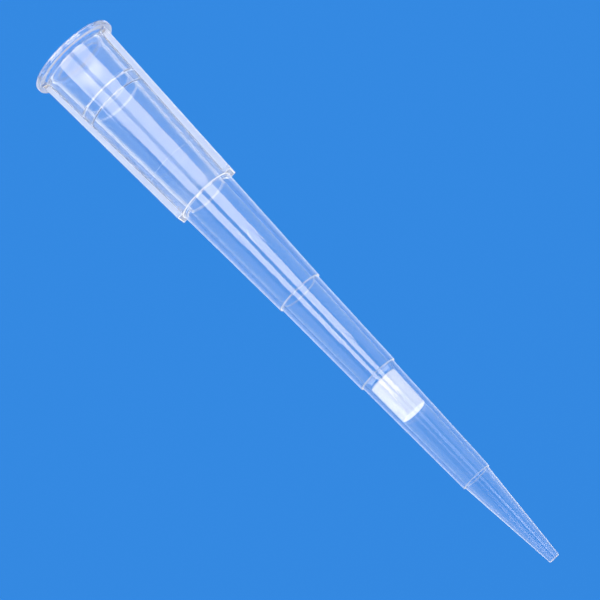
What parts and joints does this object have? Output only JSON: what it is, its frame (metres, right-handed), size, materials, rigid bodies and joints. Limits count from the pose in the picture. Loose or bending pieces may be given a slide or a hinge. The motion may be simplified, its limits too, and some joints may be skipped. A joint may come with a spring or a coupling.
{
  "type": "pipette tip",
  "caption": "Filtered pipette tip: a clear, stepped, tapering tube with a flanged mouth for the pipette's cone, a fine nozzle, and a white porous plug in its bore.",
  "frame": {"origin": "centre of the mouth's end face, which the tip stands on", "axes": "+Z along the tip's axis, from the mouth to the nozzle; X through the middle of the collar's two ribs; Y across them"},
  "size_m": [0.0074, 0.0074, 0.054],
  "materials": {
    "clear_polypropylene": "clear natural polypropylene, moulded smooth",
    "porous_filter": "white sintered polyethylene, matte and fine grained"
  },
  "bodies": {
    "root": {"tip_body": "clear_polypropylene", "filter_plug": "porous_filter"}
  },
  "joints": []
}
